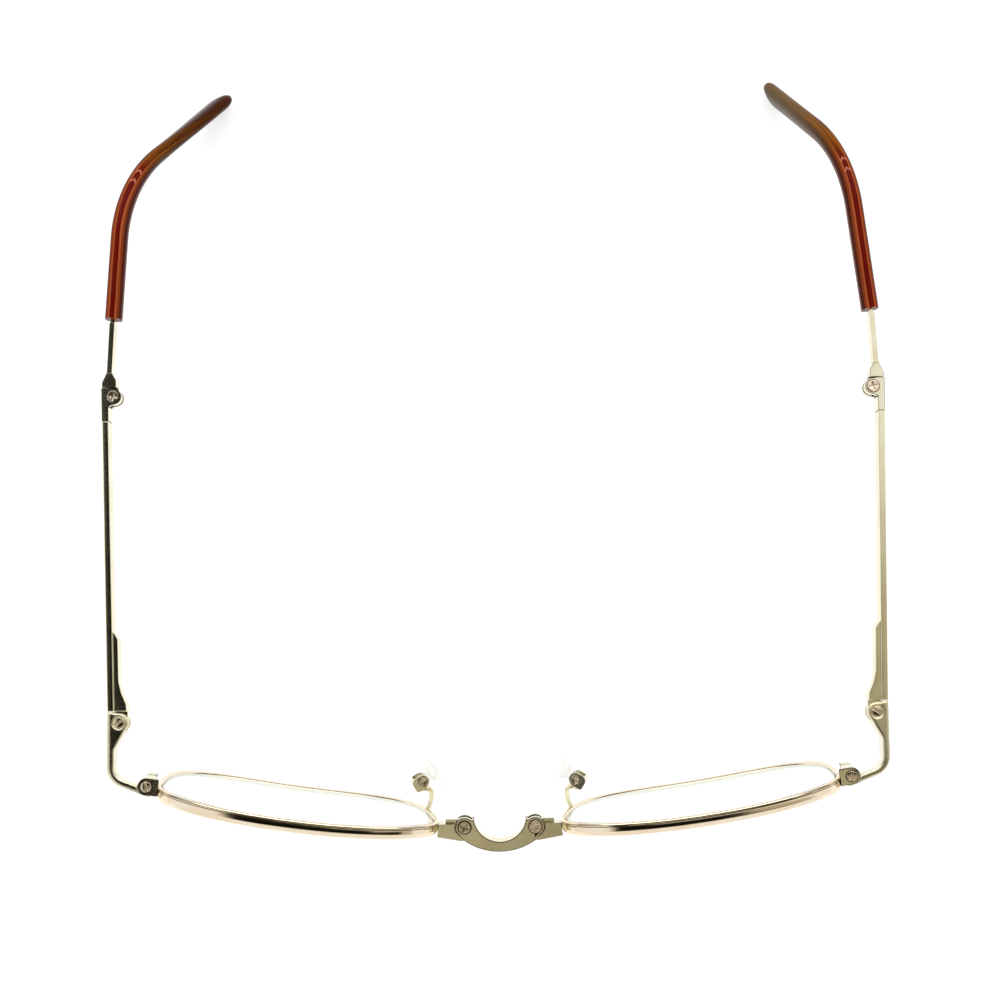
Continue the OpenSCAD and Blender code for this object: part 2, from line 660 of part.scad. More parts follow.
// Nose pad, its insert, and the box, screw and arm that hold it
pad_square = 2.3;
module pad_solid() translate([-pad_standoff - pad_t, 0, 0]) intersection() {
  rotate([0, 0, 90]) prism(oval(pad_w, pad_h, pad_square), 2 * pad_t);
  translate([pad_h, 0, 0]) sphere(r = pad_h, $fn = arc_fn);
}
module pad_foot() translate([-pad_standoff - foot_t, 0, 0]) rotate([0, 90, 0])
  cylinder(r = foot_r, h = foot_t, $fn = round_fn);
module nose_pad() color("#eef2d8", 0.6) at_pad() difference() {
  pad_solid();
  pad_foot();
}
module pad_insert() color("#dfe3cf") at_pad() difference() {
  union() {
    pad_foot();
    slab(pad_lug_h) {
      circle(r = pad_lug_r, $fn = round_fn);
      translate([-pad_standoff, -pad_neck / 2]) square([pad_standoff, pad_neck]);
    }
  }
  bore(pad_screw_r + turn_gap);
}
slit_h = pad_lug_h + 2 * hinge_gap;
slit_deep = pad_lug_r + 1.5 * hinge_gap;
box_h = slit_h + 2 * box_wall;
box_back_r = 0.9 * box_r;
box_front_r = 0.25 * box_r;
module box_blank() slab(box_h) hull() {
  circle(r = box_r, $fn = round_fn);
  translate([box_deep - box_back_r, box_r - box_back_r]) circle(r = box_back_r, $fn = round_fn);
  translate([box_deep - box_front_r, box_front_r - box_r]) circle(r = box_front_r, $fn = round_fn);
}
module pad_box() color(metal) at_pad() difference() {
  box_blank();
  slab(slit_h) translate([-2 * box_r, -2 * box_r]) square([slit_deep + 2 * box_r, 4 * box_r]);
  screw_seat(pad_screw_r, pad_head_r, box_h / 2);
}
module pad_screw() color(screw_metal) at_pad() translate([0, 0, box_h / 2])
  screw(pad_screw_r, pad_head_r, box_h, true, 10);

// Arm: a round wire that leaves the back of the rim, loops towards the nose and ends on the box
function to_front(p) = [
  rim_x + p[0] * cos(wrap) - p[1] * sin(wrap),
  rim_setback + p[0] * sin(wrap) + p[1] * cos(wrap),
  p[2] - bridge_rise
];
function nasal_x(z) =
  let (w = lens_w + rim_wall)
  let (h = lens_h + rim_wall)
  let (x = -w / 2 * pow(1 - pow(2 * abs(z) / h, lens_square), 1 / lens_square))
  x - nasal_lean * (0.5 - x / w) * z / h;
arm_root_z = -1 - pad_below + bridge_rise;
arm_root_x = nasal_x(arm_root_z);
arm_root_y = pow(arm_root_x, 2) / (2 * curve_r) + (rim_depth - pad_wire_r) / 2;
arm_root = to_front([arm_root_x, arm_root_y, arm_root_z]);
arm_root_pull = [-0.9, 2.2, 0.2];
arm_end = [pad_out + 0.5, pad_back - 1.62, seam - pad_below];
arm_end_pull = [-3.2, 1, 0.1];
arm_bow = [arm_root, arm_root + arm_root_pull, arm_end + arm_end_pull, arm_end];
arm_steps = 14;
arm_sides = 12;
function bow(t) = pow(1 - t, 3) * arm_bow[0] + 3 * pow(1 - t, 2) * t * arm_bow[1]
  + 3 * (1 - t) * pow(t, 2) * arm_bow[2] + pow(t, 3) * arm_bow[3];
function unit(v) = v / norm(v);
module pad_arm() color(metal) difference() {
  intersection() {
    at_front() sweep([
      for (i = [0 : arm_steps])
        let (t = i / arm_steps)
        let (d = unit(bow(t + 0.01) - bow(t - 0.01)))
        let (w = unit(cross(d, [0, 0, 1])))
        [for (k = [0 : arm_sides - 1]) let (a = 360 * k / arm_sides)
          bow(t) + pad_wire_r * (cos(a) * w + sin(a) * cross(w, d))]
    ]);
    at_rim() translate([0, curve_r, 0]) sphere(r = curve_r - rim_depth / 2, $fn = curve_fn);
  }
  at_pad() box_blank();
}

right() bridge();
left() bridge_screw();  // bridge_screw_left
right() bridge_screw();  // bridge_screw_right
left() rim();  // rim_left
right() rim();  // rim_right
left() lens();  // lens_left
right() lens();  // lens_right
left() bridge_lug();  // bridge_lug_left
right() bridge_lug();  // bridge_lug_right
left() rim_lock_upper();  // rim_lock_upper_left
right() rim_lock_upper();  // rim_lock_upper_right
left() rim_lock_lower();  // rim_lock_lower_left
right() rim_lock_lower();  // rim_lock_lower_right
left() rim_lock_screw();  // rim_lock_screw_left
right() rim_lock_screw();  // rim_lock_screw_right
left() end_piece();  // end_piece_left
right() end_piece();  // end_piece_right
left() temple_hinge_screw();  // temple_hinge_screw_left
right() temple_hinge_screw();  // temple_hinge_screw_right
left() pad_arm();  // pad_arm_left
right() pad_arm();  // pad_arm_right
left() pad_box();  // pad_box_left
right() pad_box();  // pad_box_right
left() pad_screw();  // pad_screw_left
right() pad_screw();  // pad_screw_right
left() nose_pad();  // nose_pad_left
right() nose_pad();  // nose_pad_right
left() pad_insert();  // pad_insert_left
right() pad_insert();  // pad_insert_right
left() spread() temple();  // temple_left
right() spread() temple();  // temple_right
left() spread() temple_hinge_leaf();  // temple_hinge_leaf_left
right() spread() temple_hinge_leaf();  // temple_hinge_leaf_right
left() spread() fold_fork();  // fold_fork_left
right() spread() fold_fork();  // fold_fork_right
left() spread() fold_screw();  // fold_screw_left
right() spread() fold_screw();  // fold_screw_right
left() spread() fold_tongue();  // fold_tongue_left
right() spread() fold_tongue();  // fold_tongue_right
left() spread() rear_wire(bent_left);  // rear_wire_left
right() spread() rear_wire(bent_right);  // rear_wire_right
left() spread() temple_tip(bent_left);  // temple_tip_left
right() spread() temple_tip(bent_right);  // temple_tip_right
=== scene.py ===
import json
from math import asin, cos, pi, radians, sin, sqrt

import bpy
from mathutils import Matrix, Vector


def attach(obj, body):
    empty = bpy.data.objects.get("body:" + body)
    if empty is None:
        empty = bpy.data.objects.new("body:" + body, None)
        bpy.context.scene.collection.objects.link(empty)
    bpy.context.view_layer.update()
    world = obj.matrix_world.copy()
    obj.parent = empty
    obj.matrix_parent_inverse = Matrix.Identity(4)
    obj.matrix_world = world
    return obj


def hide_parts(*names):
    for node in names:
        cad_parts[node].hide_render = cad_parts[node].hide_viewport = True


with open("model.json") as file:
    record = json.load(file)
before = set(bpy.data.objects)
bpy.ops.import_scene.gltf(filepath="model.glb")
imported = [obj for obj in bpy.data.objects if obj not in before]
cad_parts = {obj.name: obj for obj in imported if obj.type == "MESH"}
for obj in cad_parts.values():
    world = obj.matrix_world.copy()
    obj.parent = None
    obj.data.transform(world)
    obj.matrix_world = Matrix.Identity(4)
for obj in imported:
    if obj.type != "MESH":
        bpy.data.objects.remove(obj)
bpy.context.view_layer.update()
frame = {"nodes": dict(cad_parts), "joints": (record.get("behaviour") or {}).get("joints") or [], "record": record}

# View. The camera looks down on the open glasses from the height of a copy stand, a little to
# the front, as the photograph was taken. Its image is square, and f is in pixels of 1000.
eye = (-1.11, -39.72, 340.0)
tilt, roll, yaw = radians(5.39), radians(-0.83), radians(0.35)
focal = 1854
sensor = 36.0
ahead = Vector((0, sin(tilt), -cos(tilt)))
above = Vector((0, cos(tilt), sin(tilt)))
across = Vector((1, 0, 0))
ahead, across = ahead * cos(yaw) + across * sin(yaw), across * cos(yaw) - ahead * sin(yaw)
across, above = across * cos(roll) + above * sin(roll), above * cos(roll) - across * sin(roll)
camera = bpy.data.objects.new("camera", bpy.data.cameras.new("camera"))
bpy.context.scene.collection.objects.link(camera)
bpy.context.scene.camera = camera
camera.matrix_world = Matrix.Translation(Vector(eye) / 1000) @ Matrix((
    (across.x, above.x, -ahead.x, 0),
    (across.y, above.y, -ahead.y, 0),
    (across.z, above.z, -ahead.z, 0),
    (0, 0, 0, 1)))
camera.data.sensor_width = sensor
camera.data.lens = focal * sensor / 1000
camera.data.clip_start = 0.01
bpy.context.scene.view_settings.view_transform = "Standard"


# Table. White laminate, lit from all round by a white light tent. It renders white to the
# camera and in the metal and the lenses, and keeps the soft shadow of the glasses.
def linear(colour):
    parts = [int(colour[i:i + 2], 16) / 255 for i in (1, 3, 5)]
    return [p / 12.92 if p <= 0.04045 else ((p + 0.055) / 1.055) ** 2.4 for p in parts] + [1.0]


def add_node(tree, kind, inputs=(), **settings):
    node = tree.nodes.new(kind)
    for name, value in settings.items():
        setattr(node, name, value)
    for socket, value in dict(inputs).items():
        if isinstance(value, bpy.types.NodeSocket):
            tree.links.new(value, node.inputs[socket])
        else:
            node.inputs[socket].default_value = value
    return node


bpy.ops.object.select_all(action="DESELECT")
bpy.ops.mesh.primitive_plane_add(size=6)
table = bpy.context.active_object
table.name = "table_top"
laminate = bpy.data.materials.new("white_laminate")
laminate.use_nodes = True
tree = laminate.node_tree
tree.nodes.clear()
ray = add_node(tree, "ShaderNodeLightPath")
seen = add_node(tree, "ShaderNodeMath", {
    0: ray.outputs["Is Camera Ray"], 1: ray.outputs["Is Glossy Ray"]}, operation="MAXIMUM")
seen = add_node(tree, "ShaderNodeMath", {
    0: seen.outputs[0], 1: ray.outputs["Is Transmission Ray"]}, operation="MAXIMUM")
glow = add_node(tree, "ShaderNodeMath", {0: seen.outputs[0], 1: 0.6}, operation="MULTIPLY")
light = add_node(tree, "ShaderNodeEmission", {"Color": linear("#ffffff"), "Strength": glow.outputs[0]})
paint = add_node(tree, "ShaderNodeBsdfDiffuse", {"Color": linear("#c4c4c4")})
both = add_node(tree, "ShaderNodeAddShader", {0: light.outputs[0], 1: paint.outputs[0]})
add_node(tree, "ShaderNodeOutputMaterial", {"Surface": both.outputs[0]})
table.data.materials.append(laminate)

# Light tent. Its cloth is plain white. The polished metal mirrors what stands over it and round
# it: the grey stand, the black camera on it, and the dark room past the edge of the table.
world = bpy.data.worlds.new("light_tent")
bpy.context.scene.world = world
world.use_nodes = True
tree = world.node_tree
tree.nodes.clear()
ray = add_node(tree, "ShaderNodeLightPath")
seen = add_node(tree, "ShaderNodeMath", {
    0: ray.outputs["Is Camera Ray"], 1: ray.outputs["Is Glossy Ray"]}, operation="MAXIMUM")
seen = add_node(tree, "ShaderNodeMath", {
    0: seen.outputs[0], 1: ray.outputs["Is Transmission Ray"]}, operation="MAXIMUM")
level = add_node(tree, "ShaderNodeMapRange", {"Value": seen.outputs[0], "To Min": 0.85, "To Max": 1.0})
tent = add_node(tree, "ShaderNodeBackground", {"Color": linear("#ffffff"), "Strength": level.outputs[0]})
add_node(tree, "ShaderNodeOutputWorld", {"Surface": tent.outputs[0]})


def mirrored_only(thing, shade):
    """Something of the room that shows in the metal and nowhere else."""
    thing.visible_camera = thing.visible_diffuse = thing.visible_shadow = thing.visible_transmission = False
    cloth = bpy.data.materials.new(thing.name)
    cloth.use_nodes = True
    cloth.node_tree.nodes.clear()
    glow = add_node(cloth.node_tree, "ShaderNodeEmission", {"Color": linear(shade), "Strength": 1.0})
    add_node(cloth.node_tree, "ShaderNodeOutputMaterial", {"Surface": glow.outputs[0]})
    thing.data.materials.append(cloth)


# Left edge, right edge, front and back of each, in metres
for name, span, height, shade in (
        ("stand_board", (-0.35, 1.1, -0.62, 0.05), 0.80, "#c0b9a2"),
        ("camera_body", (-0.30, -0.03, -0.25, 0.34), 0.79, "#0c0b0a"),
        ("camera_grip", (-0.03, 0.17, -0.25, 0.0), 0.785, "#0c0b0a"),
        ("camera_lens", (0.17, 0.6, -0.25, -0.1), 0.78, "#0c0b0a"),
        ("camera_arm", (-0.35, -0.13, -0.42, -0.25), 0.775, "#0c0b0a"),
        ("camera_strap", (0.02, 0.045, -0.40, -0.30), 0.79, "#2a2620")):
    bpy.ops.object.select_all(action="DESELECT")
    centre = ((span[0] + span[1]) / 2, (span[2] + span[3]) / 2, height)
    bpy.ops.mesh.primitive_plane_add(size=1, location=centre)
    bpy.context.active_object.name = name
    bpy.context.active_object.scale = (span[1] - span[0], span[3] - span[2], 1)
    mirrored_only(bpy.context.active_object, shade)
bpy.ops.object.select_all(action="DESELECT")
bpy.ops.mesh.primitive_plane_add(size=1, location=(0, 1.1, 0.3), rotation=(pi / 2, 0, 0))
bpy.context.active_object.name = "dark_room"
bpy.context.active_object.scale = (4, 0.6, 1)
mirrored_only(bpy.context.active_object, "#14120e")

lamp = bpy.data.lights.new("rear_softbox", "AREA")
lamp.shape = "RECTANGLE"
lamp.size, lamp.size_y = 1.4, 0.6
lamp.energy = 5.0
softbox = bpy.data.objects.new("rear_softbox", lamp)
softbox.location = (0.0, 0.72, 0.9)
softbox.rotation_euler = softbox.location.to_track_quat("Z", "Y").to_euler()
bpy.context.scene.collection.objects.link(softbox)

# Bridge. A short bowed bar, pressed from nickel silver, slotted at both ends for its hinges and
# tumbled until its edges are soft. Each end has a cross-head screw, sunk from above.
bodies = {n: b for b, names in frame["record"]["behaviour"]["bodies"].items() for n in names}
pins = {j["name"]: Vector(j["pos_m"]) * 1000 for j in frame["joints"]}


def brushed(name, colour, worn, rough, grain, soft=0.0):
    """Satin metal of a varying colour, grain in mm, its flats domed for soft mm from their edges."""
    metal = bpy.data.materials.new(name)
    metal.use_nodes = True
    tree = metal.node_tree
    shader = tree.nodes["Principled BSDF"]
    shader.inputs["Metallic"].default_value = 1.0
    place = add_node(tree, "ShaderNodeTexCoord")
    fine = add_node(tree, "ShaderNodeTexNoise", {
        "Vector": place.outputs["Object"], "Scale": 1000 / grain, "Detail": 3.0, "Roughness": 0.6})
    broad = add_node(tree, "ShaderNodeTexNoise", {
        "Vector": place.outputs["Object"], "Scale": 220.0, "Detail": 2.0})
    tone = add_node(tree, "ShaderNodeMapRange", {
        "Value": broad.outputs[0], "From Min": 0.35, "From Max": 0.65})
    mixed = add_node(tree, "ShaderNodeMix", {
        "Factor": tone.outputs[0], "A": linear(colour), "B": linear(worn)}, data_type="RGBA")
    gloss = add_node(tree, "ShaderNodeMapRange", {
        "Value": fine.outputs[0], "From Min": 0.3, "From Max": 0.7,
        "To Min": rough - 0.05, "To Max": rough + 0.07})
    bump = add_node(tree, "ShaderNodeBump", {
        "Height": fine.outputs[0], "Strength": 0.12, "Distance": 0.00003})
    if soft:
        domed = add_node(tree, "ShaderNodeBevel", {"Radius": soft / 1000}, samples=8)
        tree.links.new(domed.outputs[0], bump.inputs["Normal"])
    tree.links.new(mixed.outputs["Result"], shader.inputs["Base Color"])
    tree.links.new(gloss.outputs[0], shader.inputs["Roughness"])
    tree.links.new(bump.outputs[0], shader.inputs["Normal"])
    return metal


def finish_node(node, edge, metal, painted_outline_metal=None):
    """A copy of a solid, with its edges rounded to a radius in mm, which stands for it."""
    piece = bpy.data.objects.new(node + "_finished", frame["nodes"][node].data.copy())
    bpy.context.scene.collection.objects.link(piece)
    bpy.ops.object.select_all(action="DESELECT")
    piece.select_set(True)
    bpy.context.view_layer.objects.active = piece
    bpy.ops.object.mode_set(mode="EDIT")
    bpy.ops.mesh.select_all(action="SELECT")
    bpy.ops.mesh.remove_doubles(threshold=0.000002)
    bpy.ops.mesh.dissolve_limited(angle_limit=radians(1.5))
    bpy.ops.object.mode_set(mode="OBJECT")
    piece.data.materials.clear()
    piece.data.materials.append(metal)
    if painted_outline_metal:
        piece.data.materials.append(painted_outline_metal)
    if edge:
        bevel = piece.modifiers.new("edge", "BEVEL")
        # The rounds of the edges take the dark second metal, painted shade that draws a dark outline along each
        # edge
        bevel.material = 1 if painted_outline_metal else -1
        bevel.width = edge / 1000
        bevel.segments = 3
        bevel.limit_method = "ANGLE"
        bevel.angle_limit = radians(38)
        bevel.use_clamp_overlap = True
        bpy.ops.object.modifier_apply(modifier="edge")
    bpy.ops.object.shade_smooth_by_angle(angle=radians(38))
    if edge:
        even = piece.modifiers.new("even", "WEIGHTED_NORMAL")
        even.keep_sharp = True
        bpy.ops.object.modifier_apply(modifier="even")
    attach(piece, bodies[node])
    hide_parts(node)
    return piece


# Satin nickel silver under a thin champagne plate, domed where it is rolled strip, with dark
# lines painted along the rounded edges of the smaller pieces as shade and tarnish, and brighter nickel-plated
# steel screws
nickel_silver = brushed("nickel_silver_champagne", "#e8e2c6", "#e0d7b6", 0.11, 0.05)
rolled = brushed("nickel_silver_rolled", "#e8e2c6", "#e0d7b6", 0.11, 0.05, 0.75)
# Dark metal for the edge rounds and groove floors: painted shade for the dark outlines, with some tarnish
tarnish_and_painted_shade = brushed("nickel_silver_tarnish_and_painted_shade", "#5a4f3c", "#433a2c", 0.25, 0.05)
screw_steel = brushed("screw_steel_nickel_plated", "#e6d6c0", "#d8c6aa", 0.12, 0.04, 0.18)
finish_node("bridge", 0.16, nickel_silver, tarnish_and_painted_shade)
for side in ("left", "right"):
    finish_node("bridge_screw_" + side, 0.11, screw_steel, tarnish_and_painted_shade)


# Rims. Nickel silver wire, rolled with a groove inside for the lens and a fine double line along
# the rear of its rounded outside, bent to the lens and cut through behind the lock.
def loft(name, columns, rows, place, caps=False):
    """A grid whose points place(u, v) sets in mm, with its seams and poles merged."""
    bpy.ops.object.select_all(action="DESELECT")
    bpy.ops.mesh.primitive_grid_add(x_subdivisions=columns, y_subdivisions=rows, size=1)
    piece = bpy.context.active_object
    piece.name = name
    grain = piece.data.attributes.new("grain", "FLOAT_VECTOR", "POINT")
    for i, vertex in enumerate(piece.data.vertices):
        point, along = place(vertex.co.x + 0.5, vertex.co.y + 0.5)
        vertex.co = Vector(point) / 1000
        grain.data[i].vector = along
    bpy.ops.object.mode_set(mode="EDIT")
    bpy.ops.mesh.select_all(action="SELECT")
    bpy.ops.mesh.remove_doubles(threshold=0.000001)
    if caps:
        bpy.ops.mesh.select_all(action="DESELECT")
        bpy.ops.mesh.select_mode(type="EDGE")
        bpy.ops.mesh.select_non_manifold(extend=False)
        bpy.ops.mesh.edge_face_add()
    bpy.ops.mesh.select_all(action="SELECT")
    bpy.ops.mesh.normals_make_consistent(inside=False)
    bpy.ops.object.mode_set(mode="OBJECT")
    return piece


lens_w, lens_h, rim_wall = 46.0, 28.4, 1.1
curve_r, nasal_lean, lens_square = 180.0, 6.0, 3.1
wrap, lean = radians(8.3), radians(7)
rim_spacing, rim_setback, bridge_rise = 21.2, 1.7, 5.5
lock_rise, lock_cut = 4.5, 0.2
pin_y, pin_z = pins["bridge_fold_right"].y, pins["bridge_fold_right"].z


def on_front(x, y, z):
    return (x, pin_y + y * cos(lean) - z * sin(lean), pin_z + y * sin(lean) + z * cos(lean))


def outline(angle, grow):
    """The lens outline at that angle, grown by that much all round."""
    w, h = lens_w + 2 * grow, lens_h + 2 * grow
    c, s = cos(angle), sin(angle)
    x = w / 2 * abs(c) ** (2 / lens_square) * (1 if c > 0 else -1)
    z = h / 2 * abs(s) ** (2 / lens_square) * (1 if s > 0 else -1)
    return x - nasal_lean * (0.5 - x / w) * z / h, z


rim_reach = max(-outline(2 * pi * i / 96, rim_wall)[0] for i in range(96))
rim_x = rim_spacing / 2 + rim_reach * cos(wrap)


def on_rim(x, depth, z, sign):
    """A point of a lens or rim: x and z seen from the front, depth behind the middle curve."""
    y = curve_r - sqrt((curve_r - depth) ** 2 - x * x - z * z)
    far = rim_x + x * cos(wrap) - y * sin(wrap)
    near = rim_setback + x * sin(wrap) + y * cos(wrap)
    fx, fy, fz = on_front(far, near, z - bridge_rise)
    return (sign * fx, fy, fz)


# Section of the wire: distance out from the lens, and depth from the front to the rear
wire = [(0.0, -0.92), (0.06, -1.04), (0.25, -1.1), (0.6, -1.09), (0.8, -1.02), (0.9, -0.88),
        (0.98, -0.66), (1.05, -0.46), (1.085, -0.35), (1.1, -0.27), (1.09, -0.19), (1.07, -0.04),
        (1.045, 0.14), (1.015, 0.34),
        (0.995, 0.42), (0.93, 0.45), (0.93, 0.52), (0.985, 0.55), (0.98, 0.68), (0.93, 0.71), (0.93, 0.78),
        (0.97, 0.81), (0.93, 0.92), (0.8, 1.05), (0.6, 1.1), (0.45, 1.1), (0.15, 0.95), (0.0, 0.6),
        (0.0, 0.45), (0.4, 0.45), (0.4, -0.45), (0.0, -0.45)]
groove_floor = 0.93
cut_from = asin((2 * (lock_rise + lock_cut / 2) / lens_h) ** (lens_square / 2))
cut_to = asin((2 * (lock_rise - lock_cut / 2) / lens_h) ** (lens_square / 2))
polished = brushed("nickel_silver_polished", "#f0e2ca", "#ead8bc", 0.07, 0.06)
for side, sign in (("left", -1), ("right", 1)):
    def rim_point(u, v):
        grow, depth = wire[round(v * len(wire)) % len(wire)]
        x, z = outline(cut_from + u * (2 * pi + cut_to - cut_from), grow)
        return on_rim(x, depth, z, sign), (u * 130, grow, depth)
    # The cut ends are closed, and the floors of the double line are painted dark, as tarnish and shade
    rim = loft("rim_wire_" + side, 220, len(wire), rim_point, caps=True)
    bpy.ops.object.shade_smooth_by_angle(angle=radians(42))
    rim.data.materials.append(polished)
    rim.data.materials.append(tarnish_and_painted_shade)
    grain = rim.data.attributes["grain"]
    for face in rim.data.polygons:
        spots = [grain.data[i].vector for i in face.vertices]
        if all(abs(spot.y - groove_floor) < 0.001 and spot.z < 0.8 for spot in spots):
            face.material_index = 1
    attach(rim, "front_" + side)
    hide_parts("rim_" + side)

# Lenses. Clear CR-39 plastic, cast and polished to a gentle curve, edged with a bevel that sits
# in the groove of the rim.
disc = [(0.0, -0.9), (0.3, -0.9), (0.6, -0.9), (0.85, -0.9), (0.97, -0.9), (0.998, -0.88), (1.0, -0.42),
        (1.012, -0.36), (1.012, 0.36), (1.0, 0.42), (0.998, 0.88), (0.97, 0.9), (0.85, 0.9), (0.6, 0.9),
        (0.3, 0.9), (0.0, 0.9)]
cr39 = bpy.data.materials.new("cr39_clear")
cr39.use_nodes = True
tree = cr39.node_tree
shader = tree.nodes["Principled BSDF"]
shader.inputs["Base Color"].default_value = linear("#fdfffd")
shader.inputs["Roughness"].default_value = 0.0
shader.inputs["IOR"].default_value = 1.498
shader.inputs["Transmission Weight"].default_value = 1.0
place = add_node(tree, "ShaderNodeTexCoord")
swirl = add_node(tree, "ShaderNodeTexNoise", {
    "Vector": place.outputs["Object"], "Scale": 60.0, "Detail": 1.0})
bump = add_node(tree, "ShaderNodeBump", {
    "Height": swirl.outputs[0], "Strength": 0.02, "Distance": 0.00002})
tree.links.new(bump.outputs[0], shader.inputs["Normal"])
# The edge is left as the wheel ground it, a fine matt white
ground = bpy.data.materials.new("cr39_ground_edge")
ground.use_nodes = True
tree = ground.node_tree
shader = tree.nodes["Principled BSDF"]
shader.inputs["Base Color"].default_value = linear("#f4f6ea")
place = add_node(tree, "ShaderNodeTexCoord")
grit = add_node(tree, "ShaderNodeTexNoise", {
    "Vector": place.outputs["Object"], "Scale": 8000.0, "Detail": 2.0})
gloss = add_node(tree, "ShaderNodeMapRange", {"Value": grit.outputs[0], "To Min": 0.5, "To Max": 0.8})
tree.links.new(gloss.outputs[0], shader.inputs["Roughness"])
for side, sign in (("left", -1), ("right", 1)):
    def lens_point(u, v):
        share, depth = disc[round(v * (len(disc) - 1))]
        x, z = outline(u * 2 * pi, -0.03)
        return on_rim(x * share, depth, z * share, sign), (x * share, share, z * share)
    lens = loft("lens_disc_" + side, 160, len(disc) - 1, lens_point)
    bpy.ops.object.shade_smooth_by_angle(angle=radians(35))
    lens.data.materials.append(cr39)
    lens.data.materials.append(ground)
    grain = lens.data.attributes["grain"]
    for face in lens.data.polygons:
        if min(grain.data[i].vector.y for i in face.vertices) > 0.99:
            face.material_index = 1
    lens.visible_shadow = False
    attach(lens, "front_" + side)
    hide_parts("lens_" + side)

# Bridge lugs. Nickel silver tongues of the bridge hinges, soldered to the backs of the rims.
for side in ("left", "right"):
    finish_node("bridge_lug_" + side, 0.12, nickel_silver, tarnish_and_painted_shade)

# Rim locks and end pieces. Each rim is closed by two nickel silver blocks that a slotted screw
# draws together, and a flat bent strip, soldered to them, carries the ears of the temple hinge.
for side in ("left", "right"):
    finish_node("rim_lock_upper_" + side, 0.14, nickel_silver, tarnish_and_painted_shade)
    finish_node("rim_lock_lower_" + side, 0.14, nickel_silver, tarnish_and_painted_shade)
    finish_node("rim_lock_screw_" + side, 0.09, screw_steel, tarnish_and_painted_shade)
    finish_node("end_piece_" + side, 0.3, rolled)
    finish_node("temple_hinge_screw_" + side, 0.1, screw_steel, tarnish_and_painted_shade)

# Pad arms and boxes. A round nickel silver wire is soldered to the rim, bent round in a loop and
# soldered to a small box that the screw of the nose pad goes through.
for side in ("left", "right"):
    finish_node("pad_arm_" + side, 0, nickel_silver)
    finish_node("pad_box_" + side, 0.16, nickel_silver, tarnish_and_painted_shade)
    finish_node("pad_screw_" + side, 0.08, screw_steel, tarnish_and_painted_shade)

# Nose pads. Clear silicone, moulded round a small hard plate with a lug for the screw. They are
# a little yellow with age and show mostly by their outlines.
pad_w, pad_h, pad_t, pad_square = 7.4, 13.4, 2.2, 2.3
pad_out, pad_back, pad_below, pad_standoff = 13.6, 6.2, 9.0, 1.7
pad_splay, pad_flare = radians(31), radians(12)
shell = [(0.0, 0.0), (0.3, 0.0), (0.55, 0.0), (0.75, 0.0), (0.88, 0.0), (0.95, 0.02),
         (0.985, 0.12), (1.0, 0.35), (1.0, 0.6), (0.985, 0.82), (0.95, 0.95), (0.88, 1.0),
         (0.75, 1.0), (0.55, 1.0), (0.3, 1.0), (0.0, 1.0)]
silicone = bpy.data.materials.new("silicone_clear_moulded")
silicone.use_nodes = True
tree = silicone.node_tree
shader = tree.nodes["Principled BSDF"]
shader.inputs["Base Color"].default_value = linear("#fcfdf2")
shader.inputs["Alpha"].default_value = 0.28
shader.inputs["IOR"].default_value = 1.41
shader.inputs["Transmission Weight"].default_value = 1.0
place = add_node(tree, "ShaderNodeTexCoord")
skin = add_node(tree, "ShaderNodeTexNoise", {
    "Vector": place.outputs["Object"], "Scale": 2500.0, "Detail": 2.0})
gloss = add_node(tree, "ShaderNodeMapRange", {
    "Value": skin.outputs[0], "From Min": 0.3, "From Max": 0.7, "To Min": 0.05, "To Max": 0.16})
bump = add_node(tree, "ShaderNodeBump", {"Height": skin.outputs[0], "Strength": 0.1, "Distance": 0.00002})
tree.links.new(gloss.outputs[0], shader.inputs["Roughness"])
tree.links.new(bump.outputs[0], shader.inputs["Normal"])
hard = bpy.data.materials.new("polycarbonate_moulded")
hard.use_nodes = True
tree = hard.node_tree
shader = tree.nodes["Principled BSDF"]
shader.inputs["Base Color"].default_value = linear("#f7f7e8")
shader.inputs["Alpha"].default_value = 0.45
shader.inputs["IOR"].default_value = 1.58
shader.inputs["Transmission Weight"].default_value = 0.6
place = add_node(tree, "ShaderNodeTexCoord")
skin = add_node(tree, "ShaderNodeTexNoise", {"Vector": place.outputs["Object"], "Scale": 3000.0})
gloss = add_node(tree, "ShaderNodeMapRange", {"Value": skin.outputs[0], "To Min": 0.2, "To Max": 0.35})
tree.links.new(gloss.outputs[0], shader.inputs["Roughness"])
for side, sign in (("left", -1), ("right", 1)):
    def pad_point(u, v):
        share, through = shell[round(v * (len(shell) - 1))]
        c, s = cos(u * 2 * pi), sin(u * 2 * pi)
        y = share * pad_w / 2 * abs(c) ** (2 / pad_square) * (1 if c > 0 else -1)
        z = share * pad_h / 2 * abs(s) ** (2 / pad_square) * (1 if s > 0 else -1)
        rear = -pad_standoff
        nose = -pad_standoff - pad_t + pad_h - sqrt(pad_h ** 2 - y * y - z * z)
        x = rear + through * (nose - rear)
        x, y = x * cos(pad_splay) + y * sin(pad_splay), y * cos(pad_splay) - x * sin(pad_splay)
        x, z = x * cos(pad_flare) - z * sin(pad_flare), z * cos(pad_flare) + x * sin(pad_flare)
        fx, fy, fz = on_front(pad_out + x, pad_back + y, z - pad_below)
        return (sign * fx, fy, fz), (x, y, z)
    pad = loft("pad_shell_" + side, 72, len(shell) - 1, pad_point)
    bpy.ops.object.shade_smooth_by_angle(angle=radians(60))
    pad.data.materials.append(silicone)
    pad.visible_shadow = False
    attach(pad, "pad_" + side)
    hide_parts("nose_pad_" + side)
    finish_node("pad_insert_" + side, 0.06, hard)

